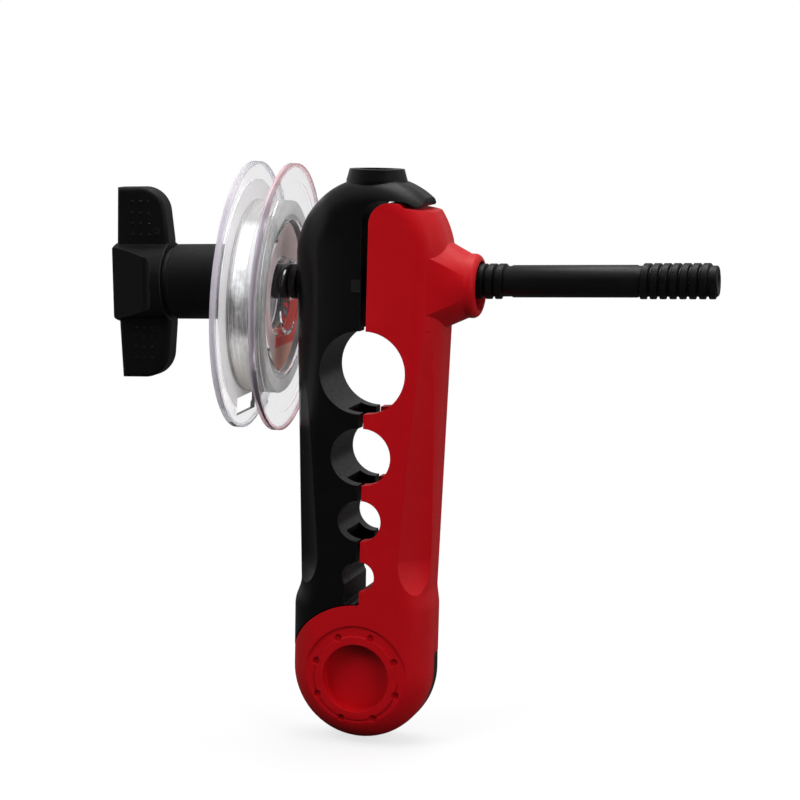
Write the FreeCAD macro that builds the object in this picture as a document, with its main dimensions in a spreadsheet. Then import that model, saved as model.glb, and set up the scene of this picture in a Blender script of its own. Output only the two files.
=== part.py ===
# Clamp-on fishing line winder: two hinged jaws grip a rod blank in one of four graded bores,
# a screw spindle runs through their heads and carries a line spool held by a sprung wing knob.
# Millimetres. +X runs along the spindle, +Y away from the viewer, +Z up.
# The origin is the centre of the smallest rod bore, at half the depth of the jaws.
import FreeCAD, Part
import math
import os
import Sketcher

V = FreeCAD.Vector
ABOUT_Y = V(0, 1, 0)

doc = FreeCAD.newDocument("LineWinder")
sheet = doc.addObject("Spreadsheet::Sheet", "Sizes")

SIZES = [
    # jaws, measured from the hinge axis
    ("jaw_depth", 22.0), ("hinge_drop", 29.0), ("hub_radius", 20.0), ("hub_rise", 1.8),
    ("shoulder_height", 20.8), ("waist_height", 25.5), ("side_taper", 1.6),
    ("dome_height", 118.3), ("black_dome_shift", 1.8), ("black_dome_radius", 22.55),
    ("red_dome_shift", 2.7), ("red_dome_radius", 24.6), ("edge_round", 8.0),
    ("shoulder_round", 10.0), ("waist_round", 8.0),
    ("jaw_gap", 0.5), ("rest_opening", 0.66),
    # halves of the hinge hub
    ("disc_radius", 20.7), ("disc_clearance", 0.35), ("disc_gap", 0.3),
    # crown of the red jaw under the hood of the black one
    ("hood_thickness", 6.2), ("hood_clearance", 0.45), ("beak_reach", 16.6), ("beak_round", 1.2),
    ("ledge_start", 8.9), ("ledge_run", 1.4), ("ledge_drop", 1.15), ("lip_play", 3.25),
    ("lip_run", 2.4), ("lip_drop", 0.9),
    ("crown_corner", 6.0),
    # graded rod bores
    ("tip_bore_height", 29.0), ("tip_bore_radius", 4.2),
    ("middle_web", 5.83), ("middle_bore_radius", 5.72),
    ("lower_web", 4.36), ("lower_bore_radius", 8.02),
    ("butt_web", 4.01), ("butt_bore_radius", 11.62),
    ("slot_width", 3.5), ("groove_depth", 4.5), ("groove_width", 13.2),
    ("groove_over_tip", 2.0), ("groove_over_butt", 2.88),
    # finger scoops
    ("scoop_axis_out", 24.5), ("scoop_axis_front", 19.0), ("scoop_widest", 15.3),
    ("scoop_top_radius", 11.6), ("scoop_top", 99.0), ("scoop_bottom", 34.0), ("scoop_end_round", 18.0),
    # top socket
    ("socket_shift", 1.2), ("socket_rise", 2.05), ("socket_base_radius", 8.6),
    ("socket_top_radius", 7.75), ("socket_root", 2.85), ("socket_play", 0.03),
    ("socket_bore_depth", 7.4), ("socket_skirt", 1.8),
    # spindle passage
    ("spindle_height", 111.2), ("spindle_tilt", 2.2), ("thread_play", 0.05),
    ("mouth_rise", 0.2), ("mouth_play", 2.05), ("mouth_reach", 30.4),
    ("ring_radius", 9.0), ("ring_length", 3.1), ("ring_seat", 0.6), ("ring_round", 1.9),
    ("nose_base_reach", 14.0), ("nose_base_half_height", 15.3), ("nose_base_half_depth", 10.6),
    ("nose_front_half_height", 9.7), ("nose_top_half_depth", 4.4),
    # hinge face of the red jaw
    ("dish_radius", 9.6), ("dish_depth", 4.0), ("ring_groove_inner", 11.9), ("ring_groove_outer", 12.6),
    ("face_ring_radius", 14.9), ("face_ring_depth", 0.45), ("ring_groove_depth", 0.9),
    ("dimple_radius", 1.05), ("dimple_circle", 12.3), ("dimple_depth", 1.1), ("dimple_turn", 26.0),
    # hinge hardware
    ("screw_head_radius", 4.6), ("screw_head_height", 2.6), ("screw_head_side", 1.6),
    ("screw_head_room", 0.2), ("screw_head_sink", 0.1), ("screw_drive_radius", 2.3),
    ("screw_drive_depth", 1.5), ("screw_radius", 2.0), ("screw_length", 13.8),
    ("screw_play", 0.1), ("bush_outer", 3.5), ("bush_end_play", 0.1),
    ("bush_play", 0.05), ("insert_radius", 3.4), ("insert_length", 3.2), ("insert_play", 0.05),
    ("well_room_in", 0.9), ("well_room_out", 2.7), ("well_floor_play", 0.45),
    ("hinge_coil_radius", 9.2), ("hinge_wire_radius", 0.7), ("hinge_coil_pitch", 1.9),
    ("hinge_coil_turns", 3.0), ("hinge_leg_length", 9.0), ("free_leg_length", 7.8),
    ("leg_slot_start", 8.0), ("leg_slot_play", 0.1), ("leg_end_play", 0.4), ("coil_end_play", 0.15),
    ("red_bush_depth", 2.6), ("lug_height", 1.8), ("lug_width", 1.3), ("lug_low", 5.0),
    ("lug_high", 8.0), ("lug_play", 0.3),
    # spindle, measured along its own axis from the black jaw's mating face
    ("thread_depth", 0.45), ("spindle_thread_radius", 4.95), ("spindle_inset", 4.2),
    ("spindle_right", 97.8), ("end_thread_length", 21.4), ("middle_thread_right", 40.4),
    ("thread_runout", 0.4), ("spindle_chamfer", 0.6), ("end_recess_radius", 1.6),
    ("end_recess_floor", 0.96), ("end_recess_depth", 1.2),
    # wing knob and tension sleeve
    ("knob_length", 16.85), ("knob_end_wall", 3.5), ("barrel_radius", 11.4), ("wing_span", 54.8),
    ("wing_inset", 1.62), ("wing_thickness", 7.4), ("wing_corner", 7.6), ("wing_edge_round", 1.3),
    ("wing_bow", 1.0), ("wing_slope", 1.5), ("wing_root", 12.0), ("barrel_round", 0.7),
    ("pad_length", 13.6), ("pad_step", 3.0), ("pad_end_depth", 4.7),
    ("washer_radius", 9.6), ("washer_thickness", 1.4), ("sleeve_length", 20.3),
    ("spool_room", 1.05), ("sleeve_radius", 10.75), ("sleeve_inner", 8.2),
    ("sleeve_end_wall", 2.2), ("sleeve_play", 0.35), ("sleeve_round", 0.5),
    ("tension_coil_radius", 6.8), ("tension_wire_radius", 0.6), ("tension_coil_turns", 7.0),
    ("tension_coil_play", 0.02),
    # line spool, measured along its own axis from its middle
    ("spool_centre", 30.4), ("spool_play", 0.65), ("spool_lean", 2.0), ("spool_yaw", 3.3),
    ("flange_radius", 38.0), ("flange_thickness", 1.3), ("spool_width", 12.3),
    ("rim_thickness", 1.7), ("rim_width", 0.9), ("step_inset", 5.0), ("step_depth", 0.3),
    ("spool_bore", 9.6), ("bore_wall", 1.3), ("hub_wall_radius", 22.0), ("hub_wall", 1.4),
    ("web_depth", 2.8), ("web_thickness", 1.2),
    ("line_radius", 27.5), ("line_diameter", 0.46), ("line_pitch", 0.9), ("line_turns", 10.0),
    ("line_end_play", 0.05), ("line_layer_play", 0.02),
    ("label_thickness", 0.25), ("label_inner_play", 0.7), ("label_outer_play", 0.4),
    ("clip_width", 19.0), ("clip_height", 5.0), ("clip_inset", 4.4), ("clip_shift", 1.5),
]
for row, (alias, number) in enumerate(SIZES, start=1):
    sheet.set(f"A{row}", alias)
    sheet.set(f"B{row}", str(number))
    sheet.setAlias(f"B{row}", alias)
doc.recompute()


def size(expression):
    """Number that an expression of the sheet's names comes to."""
    return float(sheet.evalExpression(expression))


def origin_part(body, role):
    return next(part for part in body.Origin.OriginFeatures if part.Role == role)


def new_body(label):
    body = doc.addObject("PartDesign::Body", label.title().replace("_", ""))
    body.Label = label
    return body


def new_sketch(body, name, plane, **offset):
    """Sketch on an origin plane; offset binds AttachmentOffset's x, y, z and angle."""
    sketch = body.newObject("Sketcher::SketchObject", name)
    sketch.AttachmentSupport = [(origin_part(body, plane), "")]
    sketch.MapMode = "FlatFace"
    for key, expression in offset.items():
        if key == "angle":
            sketch.AttachmentOffset = FreeCAD.Placement(V(), FreeCAD.Rotation(V(1, 0, 0), 1))
            sketch.setExpression("AttachmentOffset.Rotation.Angle", expression)
        else:
            sketch.setExpression(f"AttachmentOffset.Base.{key}", expression)
    return sketch


def pin_point(sketch, curve, end, x, y):
    """Hold one end of a curve at expressions for its sketch coordinates."""
    for kind, expression in (("DistanceX", x), ("DistanceY", y)):
        number = sketch.addConstraint(Sketcher.Constraint(kind, -1, 1, curve, end, size(expression)))
        sketch.setExpression(f"Constraints[{number}]", expression)


def draw_circle(sketch, x, y, radius):
    curve = sketch.addGeometry(Part.Circle(V(size(x), size(y), 0), V(0, 0, 1), size(radius)))
    pin_point(sketch, curve, 3, x, y)
    number = sketch.addConstraint(Sketcher.Constraint("Radius", curve, size(radius)))
    sketch.setExpression(f"Constraints[{number}]", radius)


def arc_between(start, end, radius, side):
    """Arc of a given radius from start to end; side is +1 where its centre lies on the left."""
    chord = end - start
    middle = (start + end) * 0.5
    reach = math.sqrt(max(radius ** 2 - chord.Length ** 2 / 4, 0.0))
    left = V(-chord.y, chord.x, 0).normalize()
    centre = middle + left * (reach * side)
    first = math.atan2(start.y - centre.y, start.x - centre.x)
    last = math.atan2(end.y - centre.y, end.x - centre.x)
    if side < 0:
        first, last = last, first
    return Part.ArcOfCircle(Part.Circle(centre, V(0, 0, 1), radius), first, last)


def draw_outline(sketch, steps):
    """Closed outline. A step is (x, y) for the end of a straight side, or (x, y, radius, side)
    for the end of an arc; the outline starts at the last step's point."""
    points = [V(size(step[0]), size(step[1]), 0) for step in steps]
    curves = []
    for index, step in enumerate(steps):
        start, end = points[index - 1], points[index]
        if len(step) == 2:
            curve = sketch.addGeometry(Part.LineSegment(start, end))
            first, last = 1, 2
        else:
            curve = sketch.addGeometry(arc_between(start, end, size(step[2]), step[3]))
            first, last = (1, 2) if step[3] > 0 else (2, 1)
        curves.append((curve, first, last))
    for index, (curve, first, last) in enumerate(curves):
        before, _, before_last = curves[index - 1]
        sketch.addConstraint(Sketcher.Constraint("Coincident", before, before_last, curve, first))
    for (curve, first, last), step in zip(curves, steps):
        pin_point(sketch, curve, last, step[0], step[1])
        if len(step) > 2:
            number = sketch.addConstraint(Sketcher.Constraint("Radius", curve, size(step[2])))
            sketch.setExpression(f"Constraints[{number}]", step[2])


def pad(body, sketch, name, length, both=False, back=False):
    feature = body.newObject("PartDesign::Pad", name)
    feature.Profile = sketch
    feature.setExpression("Length", length)
    feature.Midplane = both
    feature.Reversed = back
    sketch.Visibility = False
    return feature


def pocket(body, sketch, name, length=None, both=False, along=False):
    """Cut against the sketch's normal, along it, or both ways; with no length, right through."""
    feature = body.newObject("PartDesign::Pocket", name)
    feature.Profile = sketch
    if length is None:
        feature.Type = "ThroughAll"
    else:
        feature.setExpression("Length", length)
    feature.Midplane = both
    feature.Reversed = along
    sketch.Visibility = False
    return feature


def dress(body, kind, name, base, edges, amount):
    """Fillet or chamfer of chosen edges of the feature before it."""
    feature = body.newObject(f"PartDesign::{kind}", name)
    feature.Base = (base, edges)
    feature.setExpression("Radius" if kind == "Fillet" else "Size", amount)
    return feature


def edges_where(feature, test):
    doc.recompute()
    return [f"Edge{number}" for number, edge in enumerate(feature.Shape.Edges, start=1) if test(edge)]


def mid_point(edge):
    return edge.valueAt((edge.FirstParameter + edge.LastParameter) / 2)


def near(edge, x=None, y=None, z=None, slack=0.05):
    middle = mid_point(edge)
    pairs = ((middle.x, x), (middle.y, y), (middle.z, z))
    return all(wanted is None or abs(value - wanted) < slack for value, wanted in pairs)


def flat_in_y(edge, y):
    box = edge.BoundBox
    return abs(box.YMin - y) < 0.01 and abs(box.YMax - y) < 0.01


# Jaws. Both are carved from the same rounded blank and are drawn from the hinge axis.

RED_TILT = "Sizes.rest_opening"
BORES = {"tip": "Sizes.tip_bore_height"}
for below, above in (("tip", "middle"), ("middle", "lower"), ("lower", "butt")):
    BORES[above] = f"({BORES[below]} + Sizes.{below}_bore_radius + Sizes.{above}_web" \
                   f" + Sizes.{above}_bore_radius)"


def jaw_blank(body, dome_shift, dome_radius):
    """Rounded blank of the whole tool: U-shaped hub, waist, tapering sides and domed head."""
    sketch = new_sketch(body, f"{body.Name}Blank", "XZ_Plane")
    tangent_x = f"{dome_radius} * cos(Sizes.side_taper * 1deg)"
    tangent_y = f"Sizes.dome_height - {dome_radius} * sin(Sizes.side_taper * 1deg)"
    lean = f"({tangent_y} - Sizes.waist_height) * tan(Sizes.side_taper * 1deg)"
    draw_outline(sketch, [
        ("0", "Sizes.hub_rise - Sizes.hub_radius"),
        ("Sizes.hub_radius", "Sizes.hub_rise", "Sizes.hub_radius", 1),
        ("Sizes.hub_radius", "Sizes.shoulder_height"),
        (f"{dome_shift} + {tangent_x} - {lean}", "Sizes.waist_height"),
        (f"{dome_shift} + {tangent_x}", tangent_y),
        (dome_shift, f"Sizes.dome_height + {dome_radius}", dome_radius, 1),
        (f"{dome_shift} - {tangent_x}", tangent_y, dome_radius, 1),
        (f"{dome_shift} - {tangent_x} + {lean}", "Sizes.waist_height"),
        ("-Sizes.hub_radius", "Sizes.shoulder_height"),
        ("-Sizes.hub_radius", "Sizes.hub_rise"),
        ("0", "Sizes.hub_rise - Sizes.hub_radius", "Sizes.hub_radius", 1),
    ][1:])
    blank = pad(body, sketch, f"{body.Name}Pad", "Sizes.jaw_depth", both=True)
    shoulders = edges_where(blank, lambda e: near(e, y=0, z=size("Sizes.shoulder_height")))
    rounded = dress(body, "Fillet", f"{body.Name}Shoulders", blank, shoulders, "Sizes.shoulder_round")
    waists = edges_where(rounded, lambda e: near(e, y=0, z=size("Sizes.waist_height")))
    rounded = dress(body, "Fillet", f"{body.Name}Waist", rounded, waists, "Sizes.waist_round")
    half = size("Sizes.jaw_depth / 2")
    rims = edges_where(rounded, lambda e: flat_in_y(e, half) or flat_in_y(e, -half))
    return dress(body, "Fillet", f"{body.Name}Rim", rounded, rims, "Sizes.edge_round")


def cut_bores(body, face):
    """Half-bores for the rod, centred on the jaw's mating face."""
    sketch = new_sketch(body, f"{body.Name}Bores", "XZ_Plane")
    for bore, height in BORES.items():
        draw_circle(sketch, face, height, f"Sizes.{bore}_bore_radius")
    return pocket(body, sketch, f"{body.Name}BoreCut", both=True)


def cut_groove(body, low, high):
    """Hollow down the middle of the mating face, between the two walls that grip the rod."""
    sketch = new_sketch(body, f"{body.Name}Hollow", "XZ_Plane")
    bottom = "Sizes.tip_bore_height + Sizes.groove_over_tip"
    top = f"{BORES['butt']} + Sizes.butt_bore_radius + Sizes.groove_over_butt"
    draw_outline(sketch, [(high, bottom), (high, top), (low, top), (low, bottom)])
    return pocket(body, sketch, f"{body.Name}HollowCut", "Sizes.groove_width", both=True)


def cut_scoop(body, side):
    """Finger scoop down the front outer corner: a slim cone with a round end."""
    axis = "Sizes.scoop_axis_out" if side > 0 else "-Sizes.scoop_axis_out"
    sketch = new_sketch(body, f"{body.Name}Scoop", "XZ_Plane", x=axis, z="Sizes.scoop_axis_front")
    end = "Sizes.scoop_bottom - sqrt(Sizes.scoop_end_round ^ 2 - " \
          "(Sizes.scoop_end_round - Sizes.scoop_widest) ^ 2)"
    draw_outline(sketch, [
        ("0", end),
        ("Sizes.scoop_widest", "Sizes.scoop_bottom", "Sizes.scoop_end_round", 1),
        ("Sizes.scoop_top_radius", "Sizes.scoop_top"),
        ("0", "Sizes.scoop_top"),
    ])
    groove = body.newObject("PartDesign::Groove", f"{body.Name}ScoopCut")
    groove.Profile = sketch
    groove.ReferenceAxis = (sketch, ["V_Axis"])
    groove.Angle = 360
    sketch.Visibility = False
    return groove


def hub_half(body, back):
    """Remove one half of the hub's depth, where the other jaw's disc turns."""
    shift = "-Sizes.disc_gap / 2" if not back else "Sizes.disc_gap / 2"
    sketch = new_sketch(body, f"{body.Name}Hub", "XZ_Plane", z=shift)
    draw_circle(sketch, "0", "0", "Sizes.disc_radius + Sizes.disc_clearance")
    return pocket(body, sketch, f"{body.Name}HubCut", "Sizes.jaw_depth", along=not back)


def round_hole(body, name, plane, x, y, radius, length=None, both=False, along=False, **offset):
    sketch = new_sketch(body, name, plane, **offset)
    draw_circle(sketch, x, y, radius)
    return pocket(body, sketch, f"{name}Cut", length, both, along)


DOME_TOP = "(Sizes.dome_height + Sizes.black_dome_radius)"
HOOD_RADIUS = f"({DOME_TOP} - Sizes.hood_thickness)"
MOUTH_HEIGHT = "(Sizes.spindle_height + Sizes.mouth_rise)"
NUT_BORE = "(Sizes.spindle_thread_radius + Sizes.thread_play)"
BUSH_BORE = "(Sizes.bush_outer + Sizes.bush_play)"
WELL_DEPTH = "(Sizes.coil_end_play + 2 * Sizes.hinge_wire_radius + " \
    "Sizes.hinge_coil_pitch * Sizes.hinge_coil_turns + Sizes.well_floor_play)"
FAR = "(2 * Sizes.mouth_reach)"
TOP = "(Sizes.dome_height + 2 * Sizes.red_dome_radius)"


def build_black_jaw():
    body = new_body("black_jaw")
    jaw_blank(body, "Sizes.black_dome_shift", "Sizes.black_dome_radius")

    # room for the red jaw, its crown and the turning edge of the hub
    inner = "(Sizes.crown_corner - Sizes.hood_clearance)"
    lip = "(Sizes.ledge_start + Sizes.lip_play)"
    lip_end = f"({lip} + Sizes.lip_run)"
    low = f"({HOOD_RADIUS} - Sizes.lip_drop)"
    beak = "(Sizes.beak_reach - Sizes.beak_round)"
    beak_height = f"sqrt({low} ^ 2 - {beak} ^ 2)"
    beak_top = "(Sizes.dome_height + sqrt(Sizes.black_dome_radius ^ 2 - " \
               "(Sizes.beak_reach - Sizes.black_dome_shift) ^ 2))"
    sketch = new_sketch(body, "RoomForRed", "XZ_Plane")
    draw_outline(sketch, [
        ("0", "Sizes.disc_radius"),
        ("0", f"sqrt({HOOD_RADIUS} ^ 2 - {inner} ^ 2) - {inner}"),
        (inner, f"sqrt({HOOD_RADIUS} ^ 2 - {inner} ^ 2)", inner, -1),
        (lip, f"sqrt({HOOD_RADIUS} ^ 2 - {lip} ^ 2)", HOOD_RADIUS, -1),
        (lip_end, f"sqrt({low} ^ 2 - {lip_end} ^ 2)"),
        (beak, beak_height, low, -1),
        ("Sizes.beak_reach", f"{beak_height} + Sizes.beak_round", "Sizes.beak_round", 1),
        ("Sizes.beak_reach", f"{beak_top} - Sizes.beak_round / 2"),
        ("Sizes.beak_reach - Sizes.beak_round / 2", f"{beak_top} + Sizes.beak_round / 2",
         "Sizes.beak_round", 1),
        ("Sizes.beak_reach - Sizes.beak_round / 2", TOP),
        (FAR, TOP),
        (FAR, "0"),
        ("Sizes.disc_radius", "0"),
        ("0", "Sizes.disc_radius", "Sizes.disc_radius", 1),
    ][1:])
    pocket(body, sketch, "RoomForRedCut", both=True)
    hub_half(body, back=False)
    cut_bores(body, "0")
    cut_groove(body, "-Sizes.groove_depth", "Sizes.jaw_gap")
    sketch = new_sketch(body, "TipSlot", "XZ_Plane")
    slot_low = "Sizes.disc_radius + Sizes.disc_clearance"
    draw_outline(sketch, [
        ("Sizes.jaw_gap", slot_low), ("Sizes.jaw_gap", "Sizes.tip_bore_height"),
        ("-Sizes.slot_width", "Sizes.tip_bore_height"), ("-Sizes.slot_width", slot_low),
    ])
    pocket(body, sketch, "TipSlotCut", both=True)
    cut_scoop(body, -1)

    # upright socket on the dome, the spindle's other seat
    sketch = new_sketch(body, "SocketProfile", "XZ_Plane", x="Sizes.socket_shift")
    seat, top = f"{DOME_TOP} - Sizes.socket_root", f"{DOME_TOP} + Sizes.socket_rise"
    draw_outline(sketch, [
        ("0", seat), ("Sizes.socket_base_radius", seat),
        ("Sizes.socket_base_radius", f"{seat} + Sizes.socket_skirt"),
        ("Sizes.socket_top_radius", top), ("0", top),
    ])
    boss = body.newObject("PartDesign::Revolution", "SocketBoss")
    boss.Profile = sketch
    boss.ReferenceAxis = (sketch, ["V_Axis"])
    boss.Angle = 360
    round_hole(body, "SocketBore", "XY_Plane", "Sizes.socket_shift", "0",
               "Sizes.spindle_thread_radius + Sizes.socket_play", "Sizes.socket_bore_depth", z=top)

    # threaded seat of the spindle, square to the sloping side of the jaw
    round_hole(body, "NutBore", "YZ_Plane", "0", "Sizes.spindle_height * cos(Sizes.spindle_tilt * 1deg)",
               NUT_BORE, both=True, angle="-Sizes.spindle_tilt")

    # hinge: bush bore, counterbore for the screw's head, spring well and the slot for its leg
    round_hole(body, "BushBore", "XZ_Plane", "0", "0", BUSH_BORE, both=True)
    round_hole(body, "HeadRoom", "XZ_Plane", "0", "0", "Sizes.screw_head_radius + Sizes.screw_head_room",
               "Sizes.screw_head_height + Sizes.screw_head_sink", z="-Sizes.jaw_depth / 2", along=True)
    sketch = new_sketch(body, "SpringWell", "XZ_Plane", z="-Sizes.disc_gap / 2")
    draw_circle(sketch, "0", "0",
                "Sizes.hinge_coil_radius + Sizes.hinge_wire_radius + Sizes.well_room_out")
    draw_circle(sketch, "0", "0",
                "Sizes.hinge_coil_radius - Sizes.hinge_wire_radius - Sizes.well_room_in")
    pocket(body, sketch, "SpringWellCut", WELL_DEPTH)
    sketch = new_sketch(body, "LegSlot", "XZ_Plane", z="-Sizes.disc_gap / 2")
    leg_in = "Sizes.hinge_coil_radius - Sizes.hinge_wire_radius - Sizes.leg_slot_play"
    leg_out = "Sizes.hinge_coil_radius + Sizes.hinge_wire_radius + Sizes.leg_slot_play"
    leg_start, leg_end = "-Sizes.leg_slot_start", "-Sizes.hinge_leg_length - Sizes.leg_end_play"
    draw_outline(sketch, [(leg_out, leg_start), (leg_in, leg_start), (leg_in, leg_end),
                          (leg_out, leg_end)])
    pocket(body, sketch, "LegSlotCut", WELL_DEPTH)
    return body


def build_red_jaw():
    body = new_body("red_jaw")
    jaw_blank(body, "-Sizes.red_dome_shift", "Sizes.red_dome_radius")

    # nose: eight flat facets that run from an oblong base to a round mouth ring
    base = new_sketch(body, "NoseBase", "YZ_Plane", z="Sizes.nose_base_reach")
    depth, high = "Sizes.nose_base_half_depth", "Sizes.nose_base_half_height"
    front, top = "Sizes.nose_front_half_height", "Sizes.nose_top_half_depth"
    corners = [(depth, f"-{front}"), (depth, front), (top, high), (f"-{top}", high),
               (f"-{depth}", front), (f"-{depth}", f"-{front}"), (f"-{top}", f"-{high}"),
               (top, f"-{high}")]
    draw_outline(base, [(across, f"{MOUTH_HEIGHT} + {up}") for across, up in corners])
    ring_start = "Sizes.mouth_reach - Sizes.ring_length"
    ring = new_sketch(body, "NoseRing", "YZ_Plane", z=ring_start)
    draw_outline(ring, [
        (f"Sizes.ring_radius * cos({turn}deg)",
         f"{MOUTH_HEIGHT} + Sizes.ring_radius * sin({turn}deg)", "Sizes.ring_radius", 1)
        for turn in (-22.5, 22.5, 67.5, 112.5, 157.5, 202.5, 247.5, 292.5)
    ])
    nose = body.newObject("PartDesign::AdditiveLoft", "Nose")
    nose.Profile = base
    nose.Sections = [ring]
    nose.Ruled = True
    sketch = new_sketch(body, "MouthRing", "YZ_Plane", z=f"{ring_start} - Sizes.ring_seat")
    draw_circle(sketch, "0", MOUTH_HEIGHT, "Sizes.ring_radius")
    collar = pad(body, sketch, "MouthCollar", "Sizes.ring_length + Sizes.ring_seat")
    lip = edges_where(collar, lambda e: near(e, x=size("Sizes.mouth_reach")))
    dress(body, "Fillet", "MouthLip", collar, lip, "Sizes.ring_round")

    # room for the black jaw, its hood and the turning edge of the hub
    face = "Sizes.jaw_gap"
    inner = "Sizes.crown_corner"
    crown = f"({HOOD_RADIUS} - Sizes.hood_clearance)"
    corner = f"({face} + {inner})"
    ledge = "Sizes.ledge_start"
    ledge_end = f"({ledge} + Sizes.ledge_run)"
    low = f"({crown} - Sizes.ledge_drop)"
    sketch = new_sketch(body, "RoomForBlack", "XZ_Plane")
    draw_outline(sketch, [
        (f"-{FAR}", "0"),
        (f"-{FAR}", TOP),
        (FAR, TOP),
        (FAR, f"sqrt({low} ^ 2 - {FAR} ^ 2)"),
        (ledge_end, f"sqrt({low} ^ 2 - {ledge_end} ^ 2)", low, 1),
        (ledge, f"sqrt({crown} ^ 2 - {ledge} ^ 2)"),
        (corner, f"sqrt({crown} ^ 2 - {corner} ^ 2)", crown, 1),
        (face, f"sqrt({crown} ^ 2 - {corner} ^ 2) - {inner}", inner, 1),
        (face, f"sqrt(Sizes.disc_radius ^ 2 - {face} ^ 2)"),
        ("-Sizes.disc_radius", "0", "Sizes.disc_radius", 1),
    ])
    pocket(body, sketch, "RoomForBlackCut", both=True)
    hub_half(body, back=True)
    cut_bores(body, face)
    cut_groove(body, "0", f"{face} + Sizes.groove_depth")
    cut_scoop(body, 1)
    round_hole(body, "MouthBore", "YZ_Plane", "0", MOUTH_HEIGHT,
               "Sizes.spindle_thread_radius + Sizes.mouth_play", both=True)

    # front of the hub: round dish, narrow groove with eight dimples, shallow outer ring
    front = "Sizes.jaw_depth / 2"
    round_hole(body, "Dish", "XZ_Plane", "0", "0", "Sizes.dish_radius", "Sizes.dish_depth",
               z=front)
    for name, outer, inner, depth in (
            ("FaceRing", "Sizes.face_ring_radius", "Sizes.ring_groove_inner", "Sizes.face_ring_depth"),
            ("RingGroove", "Sizes.ring_groove_outer", "Sizes.ring_groove_inner",
             "Sizes.ring_groove_depth")):
        sketch = new_sketch(body, name, "XZ_Plane", z=front)
        draw_circle(sketch, "0", "0", outer)
        draw_circle(sketch, "0", "0", inner)
        pocket(body, sketch, f"{name}Cut", depth)
    turn = "Sizes.dimple_turn * 1deg"
    dimple = round_hole(body, "Dimple", "XZ_Plane", f"Sizes.dimple_circle * cos({turn})",
                        f"Sizes.dimple_circle * sin({turn})", "Sizes.dimple_radius",
                        "Sizes.dimple_depth", z=front)
    doc.recompute()
    ring_of_dimples = body.newObject("PartDesign::PolarPattern", "DimpleRing")
    ring_of_dimples.Originals = [dimple]
    ring_of_dimples.Axis = (origin_part(body, "Y_Axis"), [""])
    ring_of_dimples.Angle = 360
    ring_of_dimples.Occurrences = 8
    body.Tip = ring_of_dimples

    # hinge: bush and insert bores, and the lug that bears on the spring's free leg
    half_gap = "Sizes.disc_gap / 2"
    round_hole(body, "RedBushBore", "XZ_Plane", "0", "0", BUSH_BORE, "Sizes.red_bush_depth",
               z=half_gap, along=True)
    round_hole(body, "InsertBore", "XZ_Plane", "0", "0", "Sizes.insert_radius",
               "Sizes.red_bush_depth + Sizes.insert_length", z=half_gap, along=True)
    sketch = new_sketch(body, "SpringLug", "XZ_Plane", z=half_gap)
    lug_right = "Sizes.hinge_coil_radius - Sizes.hinge_wire_radius - Sizes.lug_play"
    lug_left = f"{lug_right} - Sizes.lug_width"
    draw_outline(sketch, [
        (lug_right, "Sizes.lug_low"), (lug_right, "Sizes.lug_high"),
        (lug_left, "Sizes.lug_high"), (lug_left, "Sizes.lug_low"),
    ])
    pad(body, sketch, "SpringLugPad", "Sizes.lug_height", back=True)
    return body


def place(part, x="0", z="0", turn=None, axis=ABOUT_Y):
    """Put a sub-part in the shared frame: x and z are expressions, turn its angle about an axis."""
    part.Placement = FreeCAD.Placement(V(), FreeCAD.Rotation(axis, 1 if turn else 0))
    part.setExpression("Placement.Base.x", x)
    part.setExpression("Placement.Base.z", z)
    if turn:
        part.setExpression("Placement.Rotation.Angle", turn)
    return part


HINGE_Z = "-Sizes.hinge_drop"
SPINDLE_Z = "Sizes.spindle_height - Sizes.hinge_drop"


def turned(label, steps, axis="H_Axis"):
    """Piece of revolution. Steps are (along, radius) about X, or (radius, along) about Y."""
    body = new_body(label)
    sketch = new_sketch(body, f"{body.Name}Profile", "XY_Plane")
    draw_outline(sketch, steps)
    turning = body.newObject("PartDesign::Revolution", f"{body.Name}Turning")
    turning.Profile = sketch
    turning.ReferenceAxis = (sketch, [axis])
    turning.Angle = 360
    sketch.Visibility = False
    return body


# Hinge hardware, along Y

def build_hinge_hardware():
    seat = "(Sizes.jaw_depth / 2 - Sizes.screw_head_height - Sizes.screw_head_sink)"
    tip = f"({seat} - Sizes.screw_length)"
    head, shank, drive = "Sizes.screw_head_radius", "Sizes.screw_radius", "Sizes.screw_drive_radius"
    top = f"{seat} + Sizes.screw_head_height"
    screw = turned("hinge_screw", [
        (shank, tip), (shank, seat), (head, seat),
        (head, f"{seat} + Sizes.screw_head_side"), (drive, top),
        (drive, f"{top} - Sizes.screw_drive_depth"), ("0", f"{top} - Sizes.screw_drive_depth"),
        ("0", tip),
    ], "V_Axis")
    step = "(-Sizes.disc_gap / 2 - Sizes.red_bush_depth)"
    inner, outer = f"{shank} + Sizes.screw_play", "Sizes.bush_outer"
    end = f"{seat} - Sizes.bush_end_play"
    bush = turned("hinge_bush", [(outer, step), (outer, end), (inner, end), (inner, step)], "V_Axis")
    inner, outer = f"{shank} + Sizes.insert_play", "Sizes.insert_radius"
    end = f"({step} - Sizes.insert_length)"
    insert = turned("hinge_insert", [(outer, end), (outer, step), (inner, step), (inner, end)], "V_Axis")
    for part in (screw, bush):
        place(part, z=HINGE_Z)
    place(insert, z=HINGE_Z, turn=RED_TILT)
    return [screw, bush, insert]


# Spindle, knob and sleeve, along X from the black jaw's mating face

SLEEVE_RIGHT = "(Sizes.spool_centre + Sizes.spool_width / 2 + Sizes.spool_room)"
SLEEVE_LEFT = f"({SLEEVE_RIGHT} + Sizes.sleeve_length)"
KNOB_RIGHT = f"({SLEEVE_LEFT} + Sizes.washer_thickness)"
KNOB_LEFT = f"({KNOB_RIGHT} + Sizes.knob_length)"


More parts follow.
